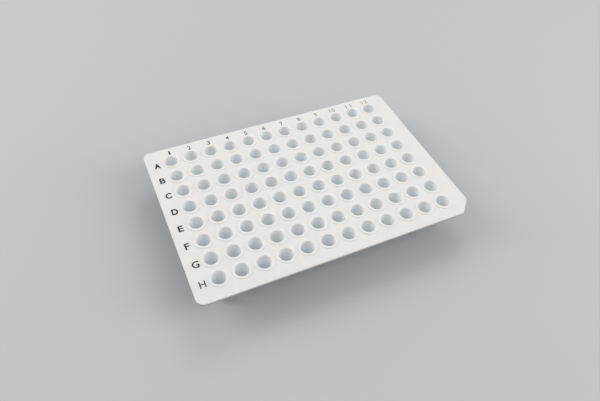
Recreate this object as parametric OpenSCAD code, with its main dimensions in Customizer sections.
// Low-profile 96-well plate without a skirt: a thin deck that carries a grid of
// cone-bottomed tubes, moulded as one piece. Units are millimetres.
// The origin is on the surface that the tube tips stand on, below the middle of the deck.
// +X runs along a row of wells, from column 1 to column 12, and +Y from row H to row A.

/* [Deck] */
// Length of the deck, along a row of wells
deck_l = 120.3; // [118:0.1:127]
// Width of the deck, along a column of wells
deck_w = 79.9; // [78:0.1:85]
// Thickness of the deck
deck_t = 1.1; // [0.8:0.1:1.4]
// Radius of the three round corners
corner_r = 3.3; // [1:0.1:5]
// Length that the cut corner at well H12 takes off each side
corner_cut = 5.8; // [4:0.1:8]
// Radius where the cut meets the sides
cut_r = 1; // [0.5:0.1:2]
// Chamfer that breaks the edges of the deck
deck_edge = 0.15; // [0.05:0.05:0.3]

/* [Well grid] */
// Number of wells in a row
columns = 12; // [2:1:12]
// Number of wells in a column
rows = 8; // [2:1:8]
// Distance between the centres of neighbouring wells
pitch = 9; // [9:0.05:9.2]

/* [Well mouths] */
// Inner diameter of a mouth
mouth_d = 5.7; // [5.4:0.1:6]
// Chamfer that leads into a mouth
lead_in = 0.2; // [0.1:0.05:0.3]
// Outer diameter of the raised rim around a mouth
rim_d = 7.7; // [7.2:0.1:8.2]
// Height of the rim above the deck
rim_h = 0.4; // [0.2:0.1:0.5]
// Chamfer that breaks the outer edge of the rim
rim_edge = 0.1; // [0.05:0.05:0.15]

/* [Tubes] */
// Height of the plate, from the tips to the rims
plate_h = 15.5; // [15.5:0.5:21]
// Angle of the cone, from one side to the other
cone_angle = 17.5; // [17.5:0.5:20]
// Inner radius of the round tip
tip_r = 1.2; // [1.1:0.1:1.6]
// Thickness of the tube's wall
wall_t = 0.4; // [0.3:0.05:0.5]
// Thickness of the tube's floor, where the plastic enters the mould
floor_t = 0.6; // [0.4:0.05:0.8]

/* [Hidden] */
$fn = 64;
half_angle = cone_angle / 2;
mouth_r = mouth_d / 2;
tube_r = mouth_r + wall_t;
rim_r = rim_d / 2;
rim_z = plate_h;
deck_z = rim_z - rim_h;
under_z = deck_z - deck_t;
mid_deck_z = under_z + deck_t / 2;
// How far a cutter runs past the surface that it opens
past = 1;

// Places its children at every well
module at_each_well() {
    for (column = [0:columns - 1], row = [0:rows - 1])
        translate([
            (column - (columns - 1) / 2) * pitch,
            (row - (rows - 1) / 2) * pitch,
            0
        ])
            children();
}

// A disc as thick as the deck, with broken edges, set into the corner at x, y
module corner_disc(x, y, r) {
    translate([x - sign(x) * r, y - sign(y) * r, under_z]) {
        cylinder(r1 = r - deck_edge, r2 = r, h = deck_edge);
        translate([0, 0, deck_edge])
            cylinder(r = r, h = deck_t - 2 * deck_edge);
        translate([0, 0, deck_t - deck_edge])
            cylinder(r1 = r, r2 = r - deck_edge, h = deck_edge);
    }
}

// The flat deck, with three round corners and one cut off at 45 degrees
module deck() {
    $fn = 32;
    x = deck_l / 2;
    y = deck_w / 2;
    // The cut's discs touch both the cut and the side that it meets
    cut = corner_cut - cut_r * (1 - tan(22.5));
    hull() {
        corner_disc(-x, -y, corner_r);
        corner_disc(-x, y, corner_r);
        corner_disc(x, y, corner_r);
        corner_disc(x - cut, -y, cut_r);
        corner_disc(x, cut - y, cut_r);
    }
}

// A straight barrel that runs down into a cone and ends in half a ball
module tube_form(barrel_r, ball_r, tip_z, top_z) {
    ball_z = tip_z + ball_r;
    cone_z = ball_z + (barrel_r - ball_r) / tan(half_angle);
    rotate_extrude() {
        polygon([
            [0, ball_z],
            [ball_r, ball_z],
            [barrel_r, cone_z],
            [barrel_r, top_z],
            [0, top_z]
        ]);
        intersection() {
            translate([0, ball_z])
                circle(r = ball_r);
            translate([0, tip_z])
                square(ball_r);
        }
    }
}

// The raised rim, with a broken outer edge, which starts inside the deck
module rim() {
    translate([0, 0, mid_deck_z])
        cylinder(r = rim_r, h = rim_z - rim_edge - mid_deck_z);
    translate([0, 0, rim_z - rim_edge])
        cylinder(r1 = rim_r, r2 = rim_r - rim_edge, h = rim_edge);
}

// The cutter for the chamfer that leads into a mouth
module mouth_chamfer() {
    cut_h = lead_in + past;
    translate([0, 0, rim_z - lead_in])
        cylinder(r1 = mouth_r, r2 = mouth_r + cut_h, h = cut_h);
}

// The whole plate
module plate() {
    color("white")
        difference() {
            union() {
                deck();
                at_each_well() {
                    tube_form(tube_r, tip_r + wall_t, 0, mid_deck_z);
                    rim();
                }
            }
            at_each_well() {
                tube_form(mouth_r, tip_r, floor_t, rim_z + past);
                mouth_chamfer();
            }
        }
}

plate();
